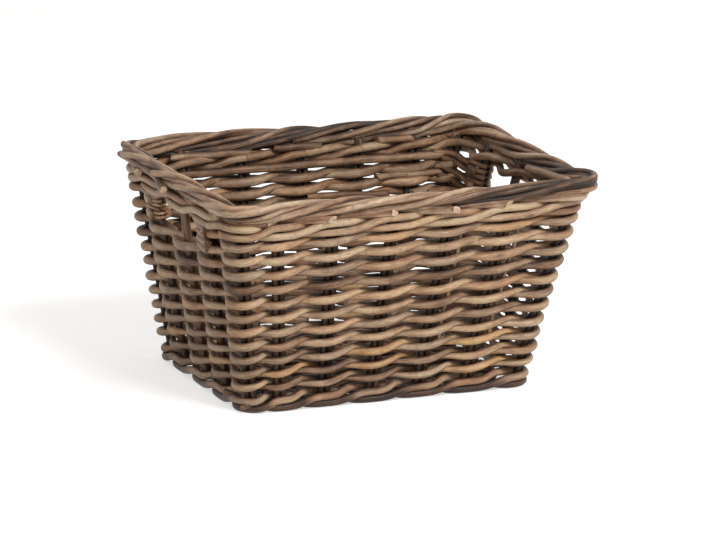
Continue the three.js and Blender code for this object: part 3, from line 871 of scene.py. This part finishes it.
def make_wales():
    levels = {  # low, high, start and end of the inside stretch, and the way in
        "foot": (4.7, 12.6, 15.9, 15.9, 18.6),
        "rim": (194.2, 203.9, 203.9, 194.2, 203.9),
    }
    for label, heights in levels.items():
        for strand in range(3):
            first = SEAM - 1 + strand
            count = STATIONS - 2 if strand == 2 else STATIONS + 1
            u, z, out = through_stops(wale_stops(first, count, *heights), 1.7).T
            keep = (u > first - 0.02) & (u < first + count + 0.02)
            u, z, out = u[keep], z[keep], out[keep]
            work = Basketry()
            tone, tint = rod_tone()
            back = in_back_wall(u)
            if label == "foot":
                # the foot's rods get painted shade low down, by the floor
                radius, shade, tone, out = FOOT_R, foot_painted_shade, FOOT_TONES[strand], out * 0.93
            else:
                radius, shade, tone, tint = WALE_R, None, RIM_TONES[strand], RIM_TINTS[strand]
                level = 202.6 + 0.3 * (z - 199.0)  # inside the back wall it lies close to this
                z = z + (level - z) * back * np.clip(-out / WEAVER_OUT, 0, 1)
            wall_rod(work, u, z, out, radius, tone, tint=tint, girth=1 + 0.08 * back, shade=shade)
            node = f"{label}_wale_{strand + 1}"
            work.build(f"woven_{node}", BARK, node)


# ---- border
BORDER_LAY = 7.6  # of a rod from the middle of the rope
BORDER_TURN = math.radians(84)  # of the rope from one station to the next
BORDER_ROUND = 2 * math.pi / BORDER_TURN
END_LEVEL, BLUNT_ENDS = 209.6, (15.6, 20.2)  # height of the cut ends; stations of the blunt ones
CUT_TURN = math.pi - 0.7  # the way the slanted cuts look
END_REACH = {14: 4.66, 15: 4.62, 16: 4.78}
DARK_BORDER = {  # tone and tint of single rods
    4: (0.1, 0.35), 9: (0.4, 0.4), 10: (0.12, 0.1), 11: (0.3, 0.3), 12: (0.56, 0.6),
    13: (0.6, 0.3), 14: (0.52, 0.5),
}


def corner_push(u):
    """The border bulges where it goes round a corner."""
    place = np.mod(u, STATIONS)
    push = np.zeros_like(place)
    for corner, size in ((0, 1.0), (6, 11.0), (10, 1.5), (16, 3.5), (20, 1.0)):
        push += size * bell(place - corner, 0.3)
    return push


def corner_rise(u):
    """The near right corner of the border stands a little higher."""
    return 2.6 * bell(np.mod(u, STATIONS) - 6.0, 0.5)


def winding(reach, phase, drift):
    """Stations past its stake and angles of a border rod."""
    rise = np.linspace(0.06, reach, 150)
    turn = np.sin(rise / BORDER_ROUND * 2 * math.pi)
    return rise, phase + BORDER_TURN * rise + drift * turn


def rope_points(u, angle, lay):
    """Heights and distances outwards of a rod that winds round the middle of the rope."""
    return BORDER_Z + lay * np.sin(angle), BORDER_SHIFT + lay * np.cos(angle) + corner_push(u)


def rope_rod(work, stops, radius, tone, tint, **options):
    u, z, out = through_stops(stops).T
    core = (BORDER_Z, BORDER_SHIFT + corner_push(u))
    wall_rod(work, u, z, out, radius, tone, core=core, tint=tint, **options)


def outer_rod(work, start, tone, tint):
    """Rises over its stake, winds slowly over the rim and ends outside, low down."""
    reach = END_REACH.get(start, BORDER_ROUND + rng.uniform(0.52, 0.7))
    blunt = BLUNT_ENDS[0] < start + reach < BLUNT_ENDS[1]
    rise, angle = winding(reach, -math.pi / 2, rng.uniform(-0.75, 0.6))
    climb = np.clip(rise / BORDER_ROUND, 0, 1)
    lay = BORDER_LAY - 2.6 * (1 - climb) + rng.uniform(0.2, 2.4) * np.sin(math.pi * climb) ** 2
    emerge = ease((rise - BORDER_ROUND + 0.5) / 0.5)
    lay = lay + rng.uniform(-0.5, 0.3) + emerge * (7.5 if blunt else 7.0)
    u = start + rise
    z, out = rope_points(u, angle, lay)
    level = END_LEVEL + rng.uniform(-1.0, 1.0) + (1.6 if blunt else 0.0)
    drop = ease((rise - BORDER_ROUND + 0.35) / 0.35)
    z = z * (1 - drop) + drop * level + corner_rise(u)
    stops = [(start - 0.03, 204.0, 0.0), (start - 0.02, 208.0, 0.4), *zip(u, z, out)]
    slant = 0.15 if blunt else rng.uniform(1.1, 1.7)
    rope_rod(work, stops, BORDER_R * rng.uniform(0.92, 1.04), tone, tint, slant=(0.0, slant),
             taper=(0.97, 1.12 if blunt else 1.0), cut_turn=CUT_TURN + rng.uniform(-0.4, 0.4),
             wander=0.7)


def mate_rod(work, start, tone, tint):
    """Lies beside the other rod of its pair, half hidden under the next pair."""
    rise, angle = winding(BORDER_ROUND * 0.97, -math.pi / 2 - 0.72, rng.uniform(-0.5, 0.5))
    lay = BORDER_LAY - 2.9 * (1 - rise / BORDER_ROUND) + rng.uniform(-2.4, -1.0)
    tone = min(0.85, max(0.08, tone + rng.uniform(-0.4, 0.0)))
    u = start + rise
    z, out = rope_points(u, angle, lay)
    stops = [(start + 0.05, 203.0, 0.0), (start + 0.05, 208.0, -0.5)]
    stops += zip(u, z + corner_rise(u), out)
    rope_rod(work, stops, BORDER_R * rng.uniform(0.8, 0.93), tone, tint, wander=0.6)


def make_border():
    for start in range(STATIONS):
        work = Basketry()
        tone, tint = rod_tone()
        tone, tint = DARK_BORDER.get(start, (tone + 0.02, min(tint, 0.8)))
        outer_rod(work, start, tone, tint)
        mate_rod(work, start, tone, tint)
        node = f"border_rod_{start + 1:02d}"
        work.build(f"rope_{node}", BORDER_BARK, node)


# ---- single rods seen in the photograph
def make_inside_rods():
    """Rods pushed in behind the stakes of the back wall, and ends of weavers left there."""
    work = Basketry()
    rods = [
        # first and last station, heights at both, distance outwards, radius, tone
        (10.2, 12.6, 188.5, 190.0, -7.6, 4.7, 0.5),
        (12.35, 15.75, 189.5, 190.5, -8.4, 4.7, 0.4),
        (10.3, 11.7, 170.5, 170.0, -8.6, 4.0, 0.56),
        (11.45, 12.95, 152.5, 155.5, -9.0, 4.0, 0.42),
        (11.15, 11.75, 208.5, 209.5, -9.0, 4.2, 0.6),
        (12.7, 13.5, 208.5, 209.5, -8.4, 4.0, 0.34),
        (13.9, 15.3, 207.5, 208.5, -8.2, 3.9, 0.46),
        (6.3, 7.5, 219.0, 211.5, -9.8, 4.2, 0.66),
        # crossing rods in the corner beside the far hand hole
        (9.12, 10.4, 159.0, 168.0, -9.4, 3.6, 0.34),
        (9.16, 10.5, 167.5, 177.5, -8.8, 3.7, 0.42),
        (9.1, 10.35, 177.5, 185.5, -9.2, 3.5, 0.3),
        (9.3, 10.6, 187.0, 191.5, -8.6, 3.6, 0.38),
    ]
    for first, last, low, high, out, radius, tone in rods:
        share = np.linspace(0, 1, 60)
        u = first + (last - first) * share
        near = 1 - np.abs(2 * (u - np.round(u)))
        z = low + (high - low) * share + 0.8 * near
        pale_end = first == 11.15  # the only one of them that shows its pith
        wall_rod(work, u, z, out + 2.2 * (1 - near), radius, tone, tint=rng.uniform(0.3, 0.8),
                 slant=(0.6, 0.4), wander=0.7, cut=(pale_end, False))
    work.build("inside_rods_back", BARK)


def make_by_stakes():
    """Thin rods pushed down beside two stakes of the front wall."""
    work = Basketry()
    for station, away, low, high in ((4, 13.0, 56.0, 199.0), (5, 14.0, 58.0, 201.0)):
        share = np.linspace(0, 1, 40)
        wall_rod(work, beside(station, away, 130.0) + 0.03 * share, low + (high - low) * share,
                 0.5 + 1.5 * np.sin(share * 20), 2.1, 0.66, tint=0.6, joints=False, wander=0.5,
                 slant=(0.6, 0.4))
    work.build("by_stakes_front", BARK)


def make_overhanging_rods():
    """Two rods of the border that run straight past the rear left corner."""
    work = Basketry()
    rods = ((18.35, 225.6, 3.5, 46.0, 0.52), (17.7, 216.6, 9.5, 44.0, 0.42))
    for station, z, out, over, tone in rods:
        a = wall_points(station, z - 6.0, out + 1.0)
        b = wall_points(17.3, z, out)
        c = wall_points(16.55, z, out)
        step = (c - b) / np.linalg.norm(c - b)
        path = soft_line(a, b, c, c + step * over, sigma=3.0)
        outward = path - wall_points(17.0, BORDER_Z, BORDER_SHIFT)
        outward[:, 1] = 0
        work.rod(path, 3.7, outward, tone, 0.5, slant=(0.4, 0.5), wander=0.3)
    work.build("border_ends_rear_left", BORDER_BARK)


def make_corner_feet():
    """Ends of the foot's rods that cross at the near left corner and stick out."""
    work = Basketry()
    corner = wall_points(0, 5.0, 7.0)
    rods = ((0.75, 8.8, 6.0, 8.0, 0.16), (19.35, 13.0, 8.6, 5.0, 0.24))
    for station, z, end_z, over, tone in rods:
        start = wall_points(station, z, 8.0)
        near = corner + (start - corner) * 0.25
        near[2] = 0.5 * (z + end_z)
        step = (near - start) / np.linalg.norm(near - start)
        end = near + step * (np.linalg.norm((corner - near)[:2]) + over)
        end[2] = end_z
        path = soft_line(start, near, end, sigma=2.0)
        outward = np.tile(wall_points(0, 5.0, 8.0) - corner, (len(path), 1))
        work.rod(path, 3.9, outward, tone, 0.5, wander=0.2, slant=(0.0, 0.3), joints=False,
                 cut=(False, False))
    work.build("corner_feet", BARK)


# ---- woven bottom
END_STICK_X = float(sum(corner.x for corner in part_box("end_stick_right")) / 2 / MM)
BOTTOM_REACH = float(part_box("bottom_edge_back")[1].y / MM - 2.7)
BOTTOM_PITCH = 9.6  # wanted; the rows share the bottom evenly
BOTTOM_WEAVERS = 4
BOTTOM_RISE, BOTTOM_FLAT = 6.1, 7.5  # of a weaver over or under a cross stake


def cross_x(index, y):
    """Where a cross stake passes y."""
    front = wall_points(1 + index, CROSS_Z, 0.0)
    back = wall_points(15 - index, CROSS_Z, 0.0)
    return front[0] + (y - front[1]) / (back[1] - front[1]) * (back[0] - front[0])


def bottom_row(row, way, end, pitch):
    """Stops of a row over and under the cross stakes, to the right or, with way -1, to the left."""
    y = row * pitch
    stops = []
    for index in range(5):
        x = cross_x(index, y)
        left = -end if index == 0 else x - BOTTOM_FLAT
        right = end if index == 4 else x + BOTTOM_FLAT
        z = CROSS_Z + BOTTOM_RISE * (-1 if (abs(row) + index) % 2 == 0 else 1)
        stops += [(left, y, z), (right, y, z)]
    return stops if way > 0 else stops[::-1]


def bottom_rod(name, node, bark, stops, radius, tone, tint):
    data = soft_line(*stops, sigma=1.3)
    work = Basketry()
    work.rod(data, radius, np.tile((0.0, 0.0, -1.0), (len(data), 1)), tone, tint, wander=0.12)
    work.build(name, bark, node)


def make_bottom():
    count = int(round(BOTTOM_REACH / BOTTOM_PITCH))
    pitch = BOTTOM_REACH / count
    reach = pitch * (count - 1) + 5.4
    for x, label in ((-END_STICK_X, "left"), (END_STICK_X, "right")):
        tone, tint = rod_tone("stake")
        bottom_rod(f"bottom_end_rod_{label}", f"end_stick_{label}", DARK_BARK,
                   [(x, -reach, CROSS_Z), (x, reach, CROSS_Z)], END_STICK_R, tone, tint)
    rows = 2 * count - 1
    edges = [int(math.floor(k * rows / BOTTOM_WEAVERS + 0.5)) for k in range(BOTTOM_WEAVERS + 1)]
    for weaver, (first, last) in enumerate(zip(edges[:-1], edges[1:])):
        stops = []
        for row in range(first, last):
            way = 1 if (row - first) % 2 == 0 else -1
            stops += bottom_row(row + 1 - count, way, END_STICK_X + 6.2, pitch)
        tone, tint = rod_tone()
        node = f"bottom_weaver_{weaver + 1}"
        bottom_rod(f"woven_{node}", node, BARK, stops, BOTTOM_R, tone * 0.85, tint)
    for side, label in ((-1, "front"), (1, "back")):
        tone, tint = rod_tone()
        stops = bottom_row(side * count, 1, END_STICK_X - 3.6, pitch)
        node = f"bottom_edge_{label}"
        bottom_rod(f"woven_{node}", node, BARK, stops, BOTTOM_R, tone * 0.85, tint)


# ---- floor, light and camera
FLOOR_REACH = 6.0  # metres
FLOOR_GLOW = 0.6  # added to the floor where the camera or gloss sees it, so that it shows white


def make_stage():
    a = FLOOR_REACH
    mesh = bpy.data.meshes.new("floor")
    mesh.from_pydata([(-a, -a, 0), (a, -a, 0), (a, a, 0), (-a, a, 0)], [], [(0, 1, 2, 3)])
    floor = link_object("floor", mesh)
    material, tree, shader = new_material("floor_pale")
    tree.fill(shader, Base_Color=(0.86, 0.86, 0.86), Roughness=0.9, Specular_IOR_Level=0.1)
    level = tree.math("MULTIPLY", tree.seen_rays(), FLOOR_GLOW)
    glow = tree.add("ShaderNodeEmission", Color=(1, 1, 1), Strength=level)
    both = tree.nodes.new("ShaderNodeAddShader")
    tree.feed(both.inputs[0], shader.outputs["BSDF"])
    tree.feed(both.inputs[1], glow.outputs["Emission"])
    tree.fill(tree.nodes["Material Output"], Surface=both.outputs["Shader"])
    mesh.materials.append(material)


def make_world():
    """Warm dim light on the object, and white for whoever looks at the background."""
    world = bpy.data.worlds.new("studio")
    bpy.context.scene.world = world
    tree = Tree(world)
    tree.nodes.clear()
    soft = tree.add("ShaderNodeBackground", Color=(1.0, 0.975, 0.945), Strength=0.33)
    white = tree.add("ShaderNodeBackground", Color=(1, 1, 1))
    choose = tree.add("ShaderNodeMixShader", Fac=tree.seen_rays())
    tree.feed(choose.inputs[1], soft.outputs["Background"])
    tree.feed(choose.inputs[2], white.outputs["Background"])
    tree.add("ShaderNodeOutputWorld", Surface=choose.outputs["Shader"])


def lamp(name, place, size, power, colour):
    light = bpy.data.lights.new(name, "AREA")
    light.shape = "RECTANGLE"
    light.size, light.size_y = size
    light.energy = power
    light.color = colour
    item = link_object(name, light)
    item.location = place
    item.rotation_euler = (Vector(LAMP_AIM) - Vector(place)).to_track_quat("-Z", "Y").to_euler()


# the photograph's camera, fitted to the basket's outline: width and focal length in its pixels
PHOTO_WIDTH, FOCAL = 716.0, 5550.6
CAMERA_PLACE, CAMERA_PITCH, CAMERA_AZIMUTH = (-2.052, -5.2876, 1.4822), 13.6, 21.4
LAMP_AIM = (0, 0, 0.1)


def make_camera():
    data = bpy.data.cameras.new("photo_camera")
    data.sensor_width = 36.0
    data.lens = FOCAL / PHOTO_WIDTH * data.sensor_width
    data.clip_end = 50.0
    camera = link_object("photo_camera", data)
    camera.location = CAMERA_PLACE
    camera.rotation_euler = (math.radians(90 - CAMERA_PITCH), 0, math.radians(-CAMERA_AZIMUTH))
    bpy.context.scene.camera = camera


make_camera()
make_stage()
make_world()
lamp("key", (0.7, -2.1, 2.1), (1.3, 1.0), 64.0, (1.0, 0.985, 0.96))
lamp("fill", (-2.0, -0.6, 1.5), (1.4, 1.4), 3.6, (1.0, 0.92, 0.83))
make_stakes()
make_pairing()
make_hole_panels()
make_wales()
make_border()
make_bottom()
make_inside_rods()
make_by_stakes()
make_overhanging_rods()
make_corner_feet()

bpy.context.scene.view_settings.view_transform = "Standard"
